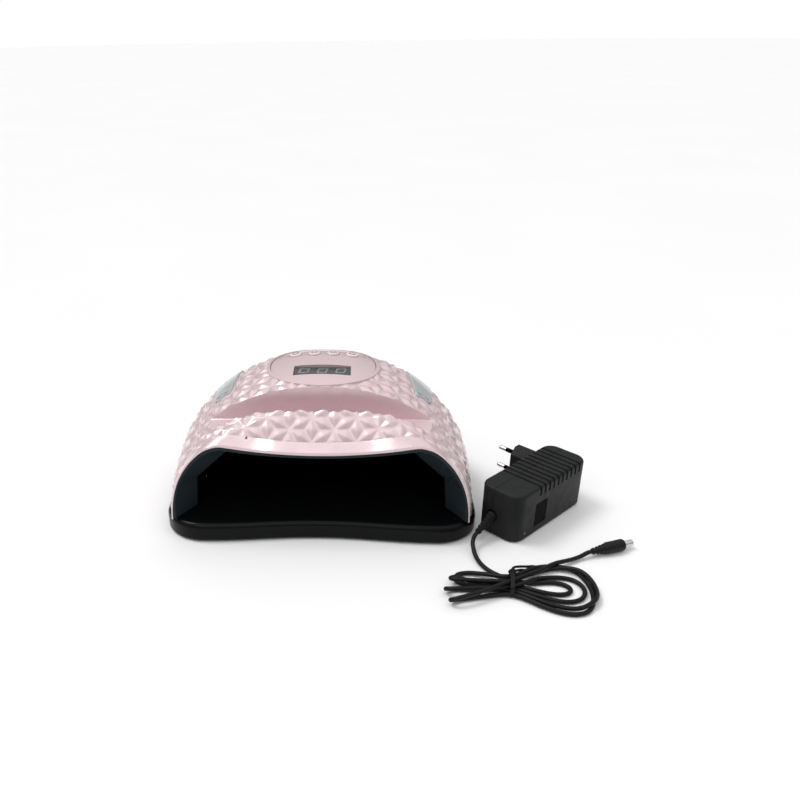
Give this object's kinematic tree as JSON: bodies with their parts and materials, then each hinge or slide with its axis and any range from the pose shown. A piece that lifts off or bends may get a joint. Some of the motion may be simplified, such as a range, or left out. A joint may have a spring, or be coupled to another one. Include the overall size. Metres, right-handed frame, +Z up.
{
  "type": "uv led nail lamp",
  "caption": "Domed nail curing lamp with a faceted shell, phone slot, timer panel and open hand bay on a removable base tray, with its plug-in power adapter and tied lead.",
  "frame": {"origin": "on the table, under the middle of the lamp (adapter and lead left out)", "axes": "+Z up, -Y towards the open front where the hand goes in, +X to the right for someone facing that front"},
  "size_m": [0.3914, 0.286, 0.12],
  "materials": {
    "pinkPearl": "pearl gloss",
    "blackGloss": "soft gloss",
    "blackSatin": "satin",
    "blackMatte": "fine texture, matte",
    "cordBlack": "smooth flexible sheath",
    "rubber": "matte",
    "silverTrim": "silver lacquer",
    "whiteKey": "satin",
    "smokedGlass": "high gloss, smoked",
    "displayBlack": "matte",
    "segmentGrey": "satin",
    "boardGreen": "solder mask",
    "boardWhite": "satin",
    "nickel": "polished",
    "steel": "plain",
    "copper": "enamelled windings",
    "indicatorGreen": "clear"
  },
  "bodies": {
    "tray": {"base_tray": "blackGloss", "base_cover": "blackMatte", "foot_front_left": "rubber", "foot_front_right": "rubber", "foot_rear_left": "rubber", "foot_rear_right": "rubber", "tray_magnet_1": "nickel", "tray_magnet_2": "nickel", "tray_magnet_3": "nickel", "tray_magnet_4": "nickel", "adapter_case_front": "blackMatte", "adapter_case_rear": "blackMatte", "adapter_label_plate": "blackSatin", "adapter_indicator": "indicatorGreen", "adapter_plug_neck": "blackMatte", "pin_sleeve_1": "blackSatin", "pin_1": "nickel", "pin_sleeve_2": "blackSatin", "pin_2": "nickel", "adapter_pcb": "boardGreen", "adapter_transformer": "copper", "adapter_capacitor": "blackSatin", "cord_relief": "rubber", "cord_lead": "cordBlack", "cord_hank": "cordBlack", "cord_tie": "cordBlack", "cord_tail": "cordBlack", "dc_plug_body": "cordBlack", "dc_plug_barrel": "nickel", "dc_plug_insulator": "blackSatin"},
    "housing": {"outer_shell": "pinkPearl", "control_panel": "pinkPearl", "side_trim_left": "silverTrim", "side_trim_right": "silverTrim", "display_window": "smokedGlass", "display_module": "displayBlack", "display_digits": "segmentGrey", "control_pcb": "boardGreen", "led_board_top": "boardWhite", "led_board_rear": "boardWhite", "led_board_shoulder_left": "boardWhite", "led_board_side_left": "boardWhite", "led_board_shoulder_right": "boardWhite", "led_board_side_right": "boardWhite", "hand_sensor": "smokedGlass", "inner_vault": "blackSatin", "front_bezel": "blackGloss", "bottom_frame": "blackSatin", "keeper_disc_1": "steel", "keeper_disc_2": "steel", "keeper_disc_3": "steel", "keeper_disc_4": "steel", "dc_jack": "blackSatin", "wiring_harness": "cordBlack"},
    "button_1": {"button_cap_1": "whiteKey"},
    "button_2": {"button_cap_2": "whiteKey"},
    "button_3": {"button_cap_3": "whiteKey"},
    "button_4": {"button_cap_4": "whiteKey"}
  },
  "joints": [
    {"name": "housing_lift", "type": "slide", "parent": "tray", "child": "housing", "axis": [0, 0, 1], "range_m": [0, 0.15]},
    {"name": "button_1_press", "type": "slide", "parent": "housing", "child": "button_1", "axis": [0.1397, -0.0887, -0.9862], "range_m": [0, 0.0007], "stiffness_N_per_m": 600},
    {"name": "button_2_press", "type": "slide", "parent": "housing", "child": "button_2", "axis": [0.0401, -0.0787, -0.9961], "range_m": [0, 0.0007], "stiffness_N_per_m": 600},
    {"name": "button_3_press", "type": "slide", "parent": "housing", "child": "button_3", "axis": [-0.0401, -0.0787, -0.9961], "range_m": [0, 0.0007], "stiffness_N_per_m": 600},
    {"name": "button_4_press", "type": "slide", "parent": "housing", "child": "button_4", "axis": [-0.1397, -0.0887, -0.9862], "range_m": [0, 0.0007], "stiffness_N_per_m": 600}
  ]
}
